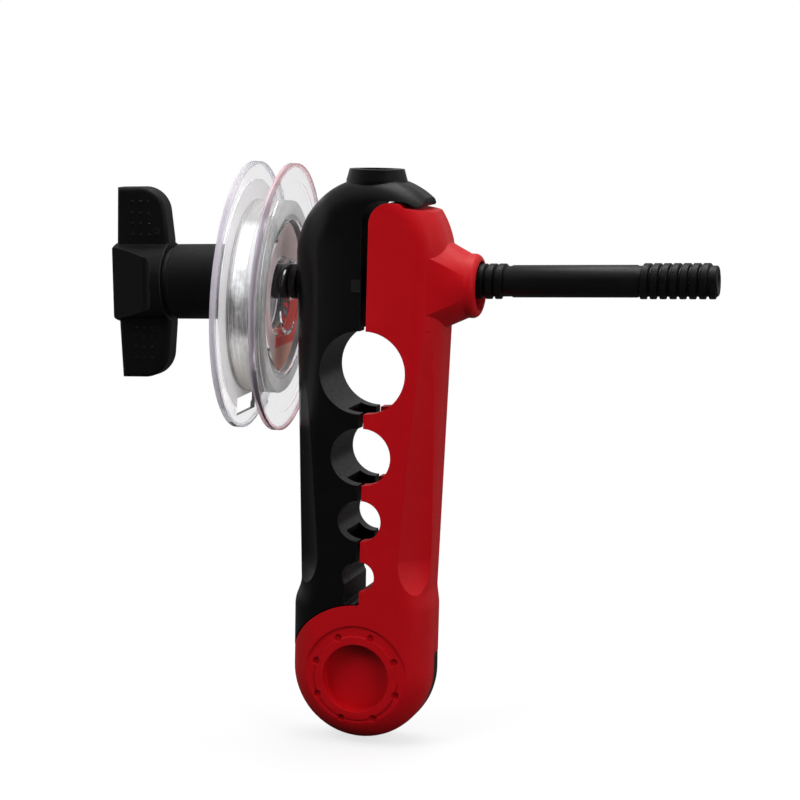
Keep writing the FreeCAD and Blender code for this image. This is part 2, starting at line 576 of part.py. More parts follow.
def build_spindle():
    left, right = f"-({KNOB_LEFT} - Sizes.spindle_inset)", "Sizes.spindle_right"
    thread = "Sizes.spindle_thread_radius"
    plain = f"{thread} - Sizes.thread_depth"
    end_thread = f"{right} - Sizes.end_thread_length"
    bevel = "Sizes.spindle_chamfer"
    body = turned("spindle", [
        (left, f"{thread} - {bevel}"), (f"{left} + {bevel}", thread),
        ("Sizes.middle_thread_right", thread),
        ("Sizes.middle_thread_right + Sizes.thread_runout", plain),
        (f"{end_thread} - Sizes.thread_runout", plain), (end_thread, thread),
        (f"{right} - {bevel}", thread), (right, f"{thread} - {bevel}"),
        (right, "Sizes.end_recess_radius"),
        (f"{right} - Sizes.end_recess_depth", "Sizes.end_recess_floor"),
        (f"{right} - Sizes.end_recess_depth", "0"), (left, "0"),
    ])
    return place(body, z=SPINDLE_Z, turn="-Sizes.spindle_tilt")


def build_knob():
    body = new_body("wing_knob")
    sketch = new_sketch(body, "Wings", "XZ_Plane")
    half = "Sizes.wing_span / 2"
    left, right, root = f"-({KNOB_LEFT} - Sizes.wing_inset)", f"-{KNOB_RIGHT}", "Sizes.wing_root"
    slope = f"{right} - Sizes.wing_slope"
    draw_outline(sketch, [
        (f"{left} - Sizes.wing_bow", "0"), (left, f"-{half}"), (slope, f"-{half}"),
        (right, f"-{root}"), (right, root), (slope, half), (left, half),
    ])
    wings = pad(body, sketch, "WingsPad", "Sizes.wing_thickness", both=True)
    corners = edges_where(wings, lambda e: near(e, x=size(slope), y=0))
    rounded = dress(body, "Fillet", "WingCorners", wings, corners, "Sizes.wing_corner")
    face = size("Sizes.wing_thickness / 2")
    rims = edges_where(rounded, lambda e: flat_in_y(e, face) or flat_in_y(e, -face))
    dress(body, "Fillet", "WingRims", rounded, rims, "Sizes.wing_edge_round")
    sketch = new_sketch(body, "Barrel", "YZ_Plane", z=f"-{KNOB_LEFT}")
    draw_circle(sketch, "0", "0", "Sizes.barrel_radius")
    barrel = pad(body, sketch, "BarrelPad", "Sizes.knob_length")
    whole_ring = size("Sizes.barrel_radius * 5")
    ends = edges_where(barrel, lambda e: near(e, x=-size(KNOB_LEFT)) and e.Length > whole_ring)
    dress(body, "Fillet", "BarrelEnd", barrel, ends, "Sizes.barrel_round")
    sketch = new_sketch(body, "ThumbPads", "XY_Plane")
    reach, high = "Sizes.barrel_radius + Sizes.pad_step", "Sizes.barrel_radius - Sizes.pad_step"
    start, end = f"-{KNOB_LEFT} + Sizes.pad_length", f"-{KNOB_LEFT} - Sizes.pad_step"
    floor = f"{start} - Sizes.pad_step"
    fall = f"({high} - Sizes.pad_end_depth) / (Sizes.pad_length - Sizes.pad_step)"
    low = f"Sizes.pad_end_depth - Sizes.pad_step * {fall}"
    for sign, side in (("", -1), ("-", 1)):
        draw_outline(sketch, [
            (floor, f"{sign}({high})"), (start, f"{sign}Sizes.barrel_radius", "Sizes.pad_step", -side),
            (start, f"{sign}({reach})"), (end, f"{sign}({reach})"), (end, f"{sign}({low})"),
        ])
    pocket(body, sketch, "ThumbPadCut", both=True)
    round_hole(body, "KnobBore", "YZ_Plane", "0", "0", NUT_BORE,
               "Sizes.knob_length - Sizes.knob_end_wall", z=f"-{KNOB_RIGHT}")
    return place(body, z=SPINDLE_Z, turn="-Sizes.spindle_tilt")


def build_sleeve():
    left, right = f"-{SLEEVE_LEFT}", f"-{SLEEVE_RIGHT}"
    outer, inner = "Sizes.sleeve_radius", "Sizes.sleeve_inner"
    bore = "Sizes.spindle_thread_radius + Sizes.sleeve_play"
    bevel = "Sizes.sleeve_round"
    body = turned("thrust_sleeve", [
        (left, inner), (left, f"{outer} - {bevel}"), (f"{left} + {bevel}", outer),
        (f"{right} - {bevel}", outer), (right, f"{outer} - {bevel}"), (right, bore),
        (f"{right} - Sizes.sleeve_end_wall", bore), (f"{right} - Sizes.sleeve_end_wall", inner),
    ])
    washer_left = f"{left} - Sizes.washer_thickness"
    washer = turned("thrust_washer", [
        (washer_left, bore), (washer_left, "Sizes.washer_radius"), (left, "Sizes.washer_radius"),
        (left, bore),
    ])
    return [place(part, z=SPINDLE_Z, turn="-Sizes.spindle_tilt") for part in (body, washer)]


# Spool, along X from its own middle

SPOOL_DROP = "(Sizes.spool_bore - Sizes.spindle_thread_radius - Sizes.spool_play)"
SPOOL_PLACE = "create(<<placement>>; create(<<vector>>; -Sizes.spool_centre; 0mm; " \
    f"{SPINDLE_Z} - Sizes.spool_centre * tan(Sizes.spindle_tilt * 1deg) - {SPOOL_DROP}); " \
    "create(<<rotation>>; Sizes.spool_yaw; Sizes.spool_lean; 0))"


def spool_half(label, side):
    """Half of the clear spool; side is "-" for the left half and "" for the right."""
    def at(depth):
        return f"{side}({depth})"
    outer = "Sizes.spool_width / 2"
    rim_out = f"{outer} + (Sizes.rim_thickness - Sizes.flange_thickness) / 2"
    rim_in = f"{outer} - (Sizes.rim_thickness + Sizes.flange_thickness) / 2"
    inside = f"{outer} - Sizes.flange_thickness"
    rim = "Sizes.flange_radius - Sizes.rim_width"
    bore, tube = "Sizes.spool_bore", "Sizes.spool_bore + Sizes.bore_wall"
    hub_in, hub_out = "Sizes.hub_wall_radius", "Sizes.hub_wall_radius + Sizes.hub_wall"
    web_out = f"{outer} - Sizes.web_depth"
    web_in = f"{web_out} - Sizes.web_thickness"
    step = "Sizes.flange_radius - Sizes.step_inset"
    body = turned(label, [
        ("0", bore), ("0", tube), (at(web_in), tube), (at(web_in), hub_in), ("0", hub_in),
        ("0", hub_out), (at(inside), hub_out), (at(inside), rim), (at(rim_in), rim),
        (at(rim_in), "Sizes.flange_radius"), (at(rim_out), "Sizes.flange_radius"),
        (at(rim_out), rim), (at(outer), rim), (at(outer), step),
        (at(f"{outer} - Sizes.step_depth"), step),
        (at(f"{outer} - Sizes.step_depth"), hub_in), (at(web_out), hub_in), (at(web_out), tube),
        (at(outer), tube), (at(outer), bore),
    ])
    if side:
        sketch = new_sketch(body, "LineClip", "YZ_Plane")
        low, half = "Sizes.clip_inset - Sizes.flange_radius", "Sizes.clip_width / 2"
        high = f"{low} + Sizes.clip_height"
        left, right = f"-Sizes.clip_shift - {half}", f"{half} - Sizes.clip_shift"
        draw_outline(sketch, [(right, low), (right, high), (left, high), (left, low)])
        pocket(body, sketch, "LineClipCut", both=True)
    return body


def build_spool():
    left = spool_half("spool_left_half", "-")
    right = spool_half("spool_right_half", "")
    reach = "(Sizes.spool_width / 2 - Sizes.flange_thickness - Sizes.line_end_play)"
    top = "Sizes.line_radius - Sizes.line_diameter - Sizes.line_layer_play"
    drum = "Sizes.hub_wall_radius + Sizes.hub_wall"
    core = turned("line_core", [(f"-{reach}", drum), (f"-{reach}", top), (reach, top), (reach, drum)])
    seat = "Sizes.spool_width / 2 - Sizes.web_depth"
    face = f"{seat} + Sizes.label_thickness"
    inner = "Sizes.spool_bore + Sizes.bore_wall + Sizes.label_inner_play"
    outer = "Sizes.hub_wall_radius - Sizes.label_outer_play"
    label = turned("spool_label", [(seat, inner), (seat, outer), (face, outer), (face, inner)])
    for part in (left, right, core, label):
        part.setExpression("Placement", SPOOL_PLACE)
    return [left, right, core, label]


# Wound pieces: one unbroken tube each, on pairs of arcs that follow the turns

def biarc(start, start_way, end, end_way):
    """Two arcs that leave start along start_way and reach end along end_way."""
    reach = end - start
    both_ways = start_way + end_way
    turn = 2 * (1 - start_way.dot(end_way))
    along = reach.dot(both_ways)
    step = (-along + math.sqrt(along ** 2 + turn * reach.dot(reach))) / turn
    joint = (start + end + (start_way - end_way) * step) * 0.5
    joint_way = (joint - start - start_way * step).normalize()
    return [arc_from(start, start_way, joint), arc_from(joint, joint_way, end)]


def arc_from(start, way, end):
    """Arc from start to end that leaves along way."""
    chord = end - start
    along = V(chord).normalize()
    bulge = way - along * way.dot(along)
    half_turn = math.acos(min(1.0, max(-1.0, way.dot(along))))
    height = chord.Length / 2 * math.tan(half_turn / 2)
    middle = (start + end) * 0.5 + bulge.normalize() * height
    return Part.Arc(start, middle, end).toShape()


def tube_along(path, ring):
    """Solid swept by a ring along straight runs and arcs that follow on from each other."""
    faces = [Part.Face(Part.Wire(ring))]
    for run in path:
        if isinstance(run.Curve, Part.Circle):
            circle = run.Curve
            angle = math.degrees(run.LastParameter - run.FirstParameter)
            faces.append(ring.revolve(circle.Center, circle.Axis, angle))
            ring = ring.rotated(circle.Center, circle.Axis, angle)
        else:
            reach = run.lastVertex().Point - run.firstVertex().Point
            faces.append(ring.extrude(reach))
            ring = ring.translated(reach)
    faces.append(Part.Face(Part.Wire(ring)))
    shell = Part.Shell(faces)
    shell.sewShape()
    tube = Part.Solid(shell)
    return tube if tube.Volume > 0 else tube.reversed()


def coil(point_at, way_at, turns, wire_radius, start_leg, end_leg):
    """Tube along a coil given by point and direction at a number of turns, with straight legs."""
    quarters = int(round(turns * 4))
    stations = [turns * index / quarters for index in range(quarters + 1)]
    path = [Part.LineSegment(point_at(0) - way_at(0) * start_leg, point_at(0)).toShape()]
    for first, last in zip(stations, stations[1:]):
        path += biarc(point_at(first), way_at(first), point_at(last), way_at(last))
    path.append(Part.LineSegment(point_at(turns), point_at(turns) + way_at(turns) * end_leg).toShape())
    ring = Part.makeCircle(wire_radius, point_at(0) - way_at(0) * start_leg, way_at(0))
    return tube_along(path, ring), Part.Wire(path)


def helix(radius, first, pitch, about_x, direction):
    """Point and direction of a helix by number of turns, about X or about Y."""
    rise = pitch / math.hypot(2 * math.pi * radius, pitch)
    run = math.sqrt(1 - rise ** 2)

    def point_at(turns):
        angle = 2 * math.pi * turns * direction
        across, up = radius * math.cos(angle), radius * math.sin(angle)
        place_along = first + pitch * turns
        return V(place_along, across, up) if about_x else V(across, place_along, up)

    def way_at(turns):
        angle = 2 * math.pi * turns * direction
        across, up = -math.sin(angle) * direction * run, math.cos(angle) * direction * run
        return V(rise, across, up) if about_x else V(across, rise, up)

    return point_at, way_at


def least_gap(spine, wire_radius, radius):
    """Least gap of a coil to its own next turn, measured on points of its middle line."""
    count = 1200
    points = spine.discretize(Number=count)
    step = spine.Length / (count - 1)
    half_turn = int(math.pi * radius / step)
    nearest = min(
        points[first].distanceToPoint(points[last])
        for first in range(count)
        for last in range(first + half_turn, min(count, first + 3 * half_turn))
    )
    return nearest - 2 * wire_radius


def wound(label, radius, wire_radius, first, pitch, turns, about_x, direction, legs):
    point_at, way_at = helix(radius, first, pitch, about_x, direction)
    tube, spine = coil(point_at, way_at, turns, wire_radius, *legs)
    print(f"{label}: least gap {least_gap(spine, wire_radius, radius):.2f} mm, "
          f"volume ratio {tube.Volume / (math.pi * wire_radius ** 2 * spine.Length):.3f}")
    feature = doc.addObject("Part::Feature", label.title().replace("_", ""))
    feature.Label = label
    feature.Shape = tube
    return feature


def build_wound():
    wire = size("Sizes.hinge_wire_radius")
    hinge_spring = wound(
        "hinge_spring", size("Sizes.hinge_coil_radius"), wire,
        size("Sizes.disc_gap / 2 + Sizes.coil_end_play") + wire,
        size("Sizes.hinge_coil_pitch"), size("Sizes.hinge_coil_turns"), False, -1,
        (size("Sizes.free_leg_length"), size("Sizes.hinge_leg_length")))
    place(hinge_spring, z=HINGE_Z)

    wire = size("Sizes.tension_wire_radius")
    turns = size("Sizes.tension_coil_turns")
    play = size("Sizes.tension_coil_play")
    first = -size(SLEEVE_LEFT) + wire + play
    last = -size(f"{SLEEVE_RIGHT} + Sizes.sleeve_end_wall") - wire - play
    tension_spring = wound(
        "tension_spring", size("Sizes.tension_coil_radius"), wire, first, (last - first) / turns, turns,
        True, 1, (2 * wire, 2 * wire))
    place(tension_spring, z=SPINDLE_Z, turn="-Sizes.spindle_tilt")

    wire = size("Sizes.line_diameter / 2")
    turns, pitch = size("Sizes.line_turns"), size("Sizes.line_pitch")
    line_winding = wound(
        "line_winding", size("Sizes.line_radius") - wire, wire, -pitch * turns / 2, pitch, turns,
        True, 1, (2 * wire, 2 * wire))
    line_winding.setExpression("Placement", SPOOL_PLACE)
    return [hinge_spring, tension_spring, line_winding]


sub_parts = [
    place(build_black_jaw(), z=HINGE_Z),
    place(build_red_jaw(), z=HINGE_Z, turn=RED_TILT),
    *build_hinge_hardware(),
    build_spindle(),
    build_knob(),
    *build_sleeve(),
    *build_spool(),
    *build_wound(),
]
doc.recompute()

for thing in doc.Objects:
    if "Invalid" in thing.State or "Error" in thing.State:
        raise RuntimeError(f"{thing.Label}: {thing.getStatusString()}")
os.makedirs("parts", exist_ok=True)
for part in sub_parts:
    shape = part.Shape
    if shape.isNull() or not shape.isValid() or len(shape.Solids) != 1:
        raise RuntimeError(f"{part.Label} has no single valid solid")
    shape.exportStep(f"parts/{part.Label}.step")
    box = shape.BoundBox
    print(f"{part.Label}: {shape.Volume:.0f} mm3, x {box.XMin:.1f} {box.XMax:.1f}, "
          f"y {box.YMin:.1f} {box.YMax:.1f}, z {box.ZMin:.1f} {box.ZMax:.1f}")
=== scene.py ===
import bpy
import math
import random
from mathutils import Matrix, Vector


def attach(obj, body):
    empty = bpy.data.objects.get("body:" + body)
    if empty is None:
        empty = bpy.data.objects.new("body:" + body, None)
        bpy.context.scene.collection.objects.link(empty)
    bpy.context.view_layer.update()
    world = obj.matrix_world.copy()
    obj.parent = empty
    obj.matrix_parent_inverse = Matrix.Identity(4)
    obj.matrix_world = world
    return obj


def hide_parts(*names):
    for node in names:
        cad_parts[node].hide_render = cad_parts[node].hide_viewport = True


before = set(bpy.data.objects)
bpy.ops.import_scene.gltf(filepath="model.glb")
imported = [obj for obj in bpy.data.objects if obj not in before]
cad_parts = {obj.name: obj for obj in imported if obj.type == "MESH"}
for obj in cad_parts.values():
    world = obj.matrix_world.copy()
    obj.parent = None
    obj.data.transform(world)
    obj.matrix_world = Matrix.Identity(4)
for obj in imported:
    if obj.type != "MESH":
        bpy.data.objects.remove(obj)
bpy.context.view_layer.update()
MM = 0.001

# Places of the turning parts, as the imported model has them
SPINDLE_HEIGHT = 0.0822
SPINDLE = Matrix.Translation((0, 0, SPINDLE_HEIGHT)) @ Matrix.Rotation(math.radians(-2.2), 4, "Y")
SPOOL = (Matrix.Translation((-0.0304, 0, 0.077032)) @ Matrix.Rotation(math.radians(3.3), 4, "Z")
         @ Matrix.Rotation(math.radians(2.0), 4, "Y"))
HINGE = Matrix.Translation((0, 0, -0.029))


# Camera at the photograph's angle, fitted in pixels of its frame

FRAME_PIXELS, FOCAL_PIXELS, SHIFT_PIXELS = 800, 2509.8, (28.5, -118.7)
CAMERA_ANGLES = (16.019, 5.021, -0.821)
CAMERA_DISTANCE = 0.706
SENSOR_WIDTH = 36


def make_camera():
    azimuth, elevation, roll = (math.radians(angle) for angle in CAMERA_ANGLES)
    back = Vector((math.sin(azimuth) * math.cos(elevation), -math.cos(azimuth) * math.cos(elevation),
                   math.sin(elevation)))
    level = Vector((math.cos(azimuth), math.sin(azimuth), 0))
    upright = back.cross(level)
    right = level * math.cos(roll) - upright * math.sin(roll)
    up = level * math.sin(roll) + upright * math.cos(roll)
    camera = bpy.data.objects.new("camera", bpy.data.cameras.new("camera"))
    place = Vector((0, 0, SPINDLE_HEIGHT)) + back * CAMERA_DISTANCE
    camera.matrix_world = Matrix([
        (right.x, up.x, back.x, place.x), (right.y, up.y, back.y, place.y),
        (right.z, up.z, back.z, place.z), (0, 0, 0, 1)])
    camera.data.sensor_width = SENSOR_WIDTH
    camera.data.lens = SENSOR_WIDTH * FOCAL_PIXELS / FRAME_PIXELS
    camera.data.shift_x, camera.data.shift_y = (shift / FRAME_PIXELS for shift in SHIFT_PIXELS)
    camera.data.clip_start = 0.01
    bpy.context.scene.collection.objects.link(camera)
    bpy.context.scene.camera = camera


# Materials

class Finish:
    """A node material while it is put together."""

    def __init__(self, name):
        self.material = bpy.data.materials.new(name)
        self.material.use_nodes = True
        self.nodes = self.material.node_tree.nodes
        self.shader = self.nodes["Principled BSDF"]
        self.output = self.nodes["Material Output"]
        self.where = self.node("ShaderNodeTexCoord").outputs["Object"]

    def node(self, kind, inputs=(), **settings):
        made = self.nodes.new(kind)
        for key, value in settings.items():
            setattr(made, key, value)
        for key, value in dict(inputs).items():
            self.feed(made.inputs[key], value)
        return made

    def feed(self, socket, value):
        if isinstance(value, bpy.types.NodeSocket):
            self.material.node_tree.links.new(value, socket)
        else:
            socket.default_value = value

    def noise(self, scale, detail=2.0, rough=0.5, where=None, distortion=0.0):
        return self.node("ShaderNodeTexNoise", {
            "Vector": where or self.where, "Scale": scale, "Detail": detail, "Roughness": rough,
            "Distortion": distortion}).outputs["Fac"]

    def stretched(self, scale):
        return self.node("ShaderNodeMapping", {"Vector": self.where, "Scale": scale}).outputs["Vector"]

    def remap(self, value, low, high, to_low, to_high):
        return self.node("ShaderNodeMapRange", {
            "Value": value, "From Min": low, "From Max": high, "To Min": to_low, "To Max": to_high,
        }).outputs["Result"]

    def mix(self, share, first, second):
        made = self.node("ShaderNodeMix", data_type="RGBA")
        self.feed(made.inputs[0], share)
        self.feed(made.inputs[6], first)
        self.feed(made.inputs[7], second)
        return made.outputs[2]

    def sum(self, kind, first, second=0.0):
        made = self.node("ShaderNodeMath", operation=kind)
        self.feed(made.inputs[0], first)
        self.feed(made.inputs[1], second)
        return made.outputs[0]

    def vector(self, kind, first, second, result="Vector"):
        made = self.node("ShaderNodeVectorMath", operation=kind)
        self.feed(made.inputs[0], first)
        self.feed(made.inputs[1], second)
        return made.outputs[result]

    def about_spool(self):
        """Distance from the spool's axis, and the places along it, across it and up."""
        reach = self.vector("SUBTRACT", self.where, tuple(SPOOL.translation))
        along, side, height = (self.vector("DOT_PRODUCT", reach, tuple(axis), "Value")
                               for axis in SPOOL.to_3x3().col)
        whole = self.vector("DOT_PRODUCT", reach, reach, "Value")
        across = self.sum("SUBTRACT", whole, self.sum("MULTIPLY", along, along))
        return self.sum("SQRT", across), along, side, height

    def within(self, value, low, high, blur):
        """1 between two limits and 0 outside them."""
        return self.sum("MULTIPLY", self.remap(value, low, low + blur, 0.0, 1.0),
                        self.remap(value, high - blur, high, 1.0, 0.0))

    def relief(self, height, distance, strength=1.0, edge=0.0):
        normal = {}
        if edge:
            bevel = self.node("ShaderNodeBevel", {"Radius": edge}, samples=4)
            normal = {"Normal": bevel.outputs["Normal"]}
        bump = self.node("ShaderNodeBump", {"Height": height, "Distance": distance,
                                            "Strength": strength, **normal})
        self.feed(self.shader.inputs["Normal"], bump.outputs["Normal"])

    def set(self, **inputs):
        for key, value in inputs.items():
            self.feed(self.shader.inputs[key.replace("_", " ")], value)


EDGE_WEAR_AND_HIGHLIGHT_WIDTH = 0.0004
MARK_TONE, MARK_DEPTH, MARK_BLUR = (0.02, 0.02, 0.02, 1), 12.0, 0.0002


def moulded(name, colour, pale, roughness, spread, grain, depth, edge=0.0003, scuff=0.0, gloss=0.4,
            edge_wear_and_highlight=None, mark=None):
    """Moulded plastic: fine spark-eroded grain, clouded tone, faint scuffs, and paler edges that are partly
    wear and partly a painted highlight.

    mark is a box, as low and high along each axis, whose face is a shade paler and lower.
    """
    f = Finish(name)
    cloud = f.noise(90, 4, 0.6)
    fine = f.noise(grain, 3, 0.65)
    tone = f.mix(f.remap(cloud, 0.3, 0.75, 0, 0.7), colour, pale)
    tone = f.mix(f.remap(fine, 0.45, 0.8, 0, 0.35), tone, pale)
    rough = f.remap(f.noise(grain * 0.3, 3), 0.3, 0.7, roughness - spread, roughness + spread)
    if scuff:
        hair = f.noise(1.0, 2, 0.5, f.stretched((2600, 2600, 160)), 0.4)
        rough = f.sum("ADD", rough, f.remap(hair, 0.68, 0.74, 0, scuff))
    # Paler edges found with a bevel: partly edge wear, partly a painted highlight.
    if edge_wear_and_highlight:
        rounded = f.node("ShaderNodeBevel", {"Radius": EDGE_WEAR_AND_HIGHLIGHT_WIDTH}, samples=4).outputs["Normal"]
        flat = f.node("ShaderNodeNewGeometry").outputs["Normal"]
        turn = f.sum("SUBTRACT", 1.0, f.vector("DOT_PRODUCT", rounded, flat, "Value"))
        tone = f.mix(f.remap(turn, 0.01, 0.12, 0, 0.8), tone, edge_wear_and_highlight)
    height = fine
    if mark:
        inside = 1.0
        for place, (low, high) in zip(f.node("ShaderNodeSeparateXYZ", {0: f.where}).outputs, mark):
            inside = f.sum("MULTIPLY", inside, f.within(place, low, high, MARK_BLUR))
        tone = f.mix(f.sum("MULTIPLY", inside, 0.5), tone, MARK_TONE)
        height = f.sum("SUBTRACT", fine, f.sum("MULTIPLY", inside, MARK_DEPTH))
    f.set(Base_Color=tone, Roughness=rough, Specular_IOR_Level=gloss)
    f.relief(height, depth, 0.6, edge)
    return f.material


# Sizes of the spool that its finishes follow
RIM_START, RIM_FULL, RIM_LINES = 0.0366, 0.0376, (0.0374, 0.0378)
PANEL_EDGE, LEFT_FLANGE = (0.0328, 0.0332), (-0.0042, -0.0048)
SLOT_MIDDLE, SLOT_HALF_LENGTH = 0.0015, (0.0097, 0.0100)
SLOT_TOP, SLOT_BOTTOM, SLOT_FACE = (-0.0276, -0.0280), (-0.0344, -0.0340), (-0.0040, -0.0042)


def clear_plastic():
    """Clear crystal plastic: hazy recessed panels, rims with a violet tint that turns pink, and painted
    shade in the line clip's slot.
    """
    f = Finish("clear_plastic")
    across, along, side, height = f.about_spool()

    ends = f.remap(f.sum("ABSOLUTE", height), 0.022, 0.034, 0.0, 1.0)
    right = f.remap(along, 0.0, 0.001, 0.0, 1.0)
    end_tint = f.mix(right, (0.74, 0.72, 0.76, 1), (0.88, 0.58, 0.61, 1))
    rim = f.remap(across, RIM_START, RIM_FULL, 0.0, 1.0)
    tint = f.mix(rim, (0.975, 0.975, 0.985, 1), f.mix(ends, (0.66, 0.60, 0.70, 1), end_tint))

    panel = f.sum("MULTIPLY", f.remap(along, *LEFT_FLANGE, 0.0, 1.0),
                  f.remap(across, *PANEL_EDGE, 1.0, 0.0))
    tint = f.mix(panel, tint, (0.76, 0.76, 0.76, 1))
    waves = f.node("ShaderNodeTexWave", {
        "Scale": 1100.0, "Distortion": 1.5, "Detail": 1.0,
        "Vector": f.vector("MULTIPLY", (1.0, 0.0, 0.0), f.where)}).outputs["Fac"]
    lines = f.sum("MULTIPLY", f.remap(across, *RIM_LINES, 0.0, 1.0), f.remap(waves, 0.5, 0.9, 0.0, 0.45))
    tint = f.mix(lines, tint, (0.42, 0.39, 0.46, 1))

    # Painted shade, dark and opaque, on the walls of the line clip's slot, on the faces that don't look
    # along the axis
    turn = f.vector("DOT_PRODUCT", f.node("ShaderNodeNewGeometry").outputs["Normal"],
                    tuple(SPOOL.to_3x3().col[0]), "Value")
    slot = f.remap(f.sum("ABSOLUTE", turn), 0.3, 0.6, 1.0, 0.0)
    off_middle = f.sum("ABSOLUTE", f.sum("SUBTRACT", side, SLOT_MIDDLE))
    for limit in (f.remap(height, *SLOT_TOP, 0.0, 1.0), f.remap(height, *SLOT_BOTTOM, 0.0, 1.0),
                  f.remap(off_middle, *SLOT_HALF_LENGTH, 1.0, 0.0), f.remap(along, *SLOT_FACE, 0.0, 1.0)):
        slot = f.sum("MULTIPLY", slot, limit)
    tint = f.mix(slot, tint, (0.16, 0.16, 0.17, 1))

    scratches = f.noise(1.0, 3, 0.6, f.stretched((300, 300, 2500)), 0.3)
    haze = f.remap(f.noise(240, 3, 0.6), 0.35, 0.7, 0.72, 0.56)
    veil = f.sum("MAXIMUM", f.sum("MULTIPLY", panel, haze), f.sum("MULTIPLY", rim, 0.42))
    rough = f.sum("ADD", f.remap(scratches, 0.55, 0.8, 0.03, 0.12), f.sum("MULTIPLY", panel, 0.25))
    f.set(Base_Color=tint, IOR=1.22, Roughness=rough,
          Transmission_Weight=f.sum("SUBTRACT", 1.0, f.sum("MAXIMUM", veil, slot)))
    f.relief(f.noise(220, 3, 0.6), 0.00004, 0.4)
    lit_through = f.node("ShaderNodeBsdfTransparent", {"Color": (0.97, 0.96, 0.98, 1)})
    gate = f.node("ShaderNodeMixShader", {
        0: f.node("ShaderNodeLightPath").outputs["Is Shadow Ray"],
        1: f.shader.outputs["BSDF"], 2: lit_through.outputs["BSDF"]})
    f.feed(f.output.inputs["Surface"], gate.outputs["Shader"])
    return f.material


def line_finish():
    """Wound monofilament, silky: painted highlight bands above and below, painted grey shade in the middle,
    painted shade at the top, towards the right end and at the left end, and paler stripes of painted sheen.
    """
    f = Finish("line")
    _, along, _, height = f.about_spool()
    streak_and_sheen = f.noise(1.0, 4, 0.7, f.stretched((2200, 160, 160)), 0.8)
    # Painted highlight bands above and below keep the line's tone; between them, in the middle, a painted
    # grey shade.
    uneven = f.sum("ADD", height, f.remap(f.noise(130, 3, 0.6), 0.3, 0.7, -0.005, 0.005))
    painted_highlight_bands = f.sum("ADD", f.remap(uneven, 0.001, 0.009, 0.0, 1.0), f.remap(uneven, -0.004, -0.013, 0.0, 1.0))
    tone = f.mix(f.remap(height, -0.004, -0.020, 0.0, 1.0), (0.90, 0.90, 0.90, 1), (0.84, 0.80, 0.74, 1))
    tone = f.mix(painted_highlight_bands, (0.13, 0.13, 0.13, 1), tone)
    # Painted shade: darker at the top of the drum, towards its right end and at its left end.
    painted_shade = 0.0
    for edge in (f.remap(along, -0.0008, 0.0035, 0.0, 0.85), f.remap(height, 0.0195, 0.0225, 0.0, 0.75),
                 f.remap(along, -0.0034, -0.0040, 0.0, 0.7)):
        painted_shade = f.sum("MAXIMUM", painted_shade, edge)
    tone = f.mix(painted_shade, tone, (0.22, 0.22, 0.21, 1))
    # Paler stripes of painted sheen along the turns; the same noise also sets roughness and bumps.
    tone = f.mix(f.remap(streak_and_sheen, 0.40, 0.75, 0.0, 0.40), tone, (0.80, 0.79, 0.77, 1))
    f.set(Base_Color=tone, Roughness=f.remap(streak_and_sheen, 0.3, 0.7, 0.38, 0.24), IOR=1.5,
          Subsurface_Weight=0.1, Subsurface_Scale=0.001)
    f.relief(streak_and_sheen, 0.00008, 0.5)
    return f.material


def label_finish():
    """Bare label of coated paper: a pale field, a vivid band and a soft field, half of it mauve-grey."""
    f = Finish("label")
    _, _, side, height = f.about_spool()
    fibre = f.noise(1800, 3, 0.6)
    tone = f.mix(f.remap(height, -0.0020, -0.0024, 0.0, 1.0), (0.95, 0.74, 0.71, 1), (1.0, 0.030, 0.005, 1))
    tone = f.mix(f.remap(height, -0.0142, -0.0148, 0.0, 1.0), tone, (0.98, 0.42, 0.30, 1))
    tone = f.mix(f.remap(side, -0.0035, -0.0045, 0.0, 0.9), tone, (0.60, 0.50, 0.51, 1))
    tone = f.mix(f.remap(fibre, 0.4, 0.8, 0, 0.2), tone, (0.95, 0.85, 0.82, 1))
    f.set(Base_Color=tone, Roughness=f.remap(fibre, 0.3, 0.7, 0.35, 0.5))
    f.relief(fibre, 0.00002, 0.5)
    return f.material


def metal(name, colour, roughness, stretch, scale):
    """Drawn or turned metal with fine lines along its working direction."""
    f = Finish(name)
    lines = f.noise(1.0, 3, 0.6, f.stretched(stretch))
    spots = f.noise(scale, 3, 0.6)
    tone = f.mix(f.remap(lines, 0.3, 0.7, 0, 1), colour, tuple(c * 0.72 for c in colour[:3]) + (1,))
    tone = f.mix(f.remap(spots, 0.6, 0.8, 0, 0.5), tone, tuple(c * 0.5 for c in colour[:3]) + (1,))
    f.set(Base_Color=tone, Metallic=1.0,
          Roughness=f.remap(lines, 0.3, 0.7, roughness - 0.07, roughness + 0.1))
    f.relief(lines, 0.00001, 0.5)
    return f.material


JAW_MARK = ((-0.0028, -0.0001), (-0.0115, -0.0105), (0.0800, 0.0836))
BLACK = moulded("black_moulding", (0.0020, 0.0020, 0.0021, 1), (0.0042, 0.0042, 0.0044, 1), 0.36, 0.06,
                3200, 0.00002, scuff=0.10, gloss=0.24, edge_wear_and_highlight=(0.012, 0.012, 0.012, 1), mark=JAW_MARK)
RED = moulded("red_moulding", (0.50, 0.0022, 0.0060, 1), (0.56, 0.0045, 0.0100, 1), 0.46, 0.06,
              2600, 0.000035, scuff=0.08, gloss=0.30)
KNOB = moulded("knob_plastic", (0.0025, 0.0025, 0.0026, 1), (0.005, 0.005, 0.0053, 1), 0.55, 0.05,
               4200, 0.00003, gloss=0.24, edge_wear_and_highlight=(0.045, 0.045, 0.045, 1))
SPINDLE_FINISH = moulded("spindle_plastic", (0.0030, 0.0030, 0.0031, 1), (0.006, 0.006, 0.0063, 1), 0.40,
                         0.07, 3800, 0.00002, edge=0.00012, scuff=0.12, gloss=0.28)
WASHER = moulded("washer_plastic", (0.010, 0.010, 0.010, 1), (0.02, 0.02, 0.02, 1), 0.5, 0.05,
                 3000, 0.00002)
CLEAR = clear_plastic()
LINE = line_finish()
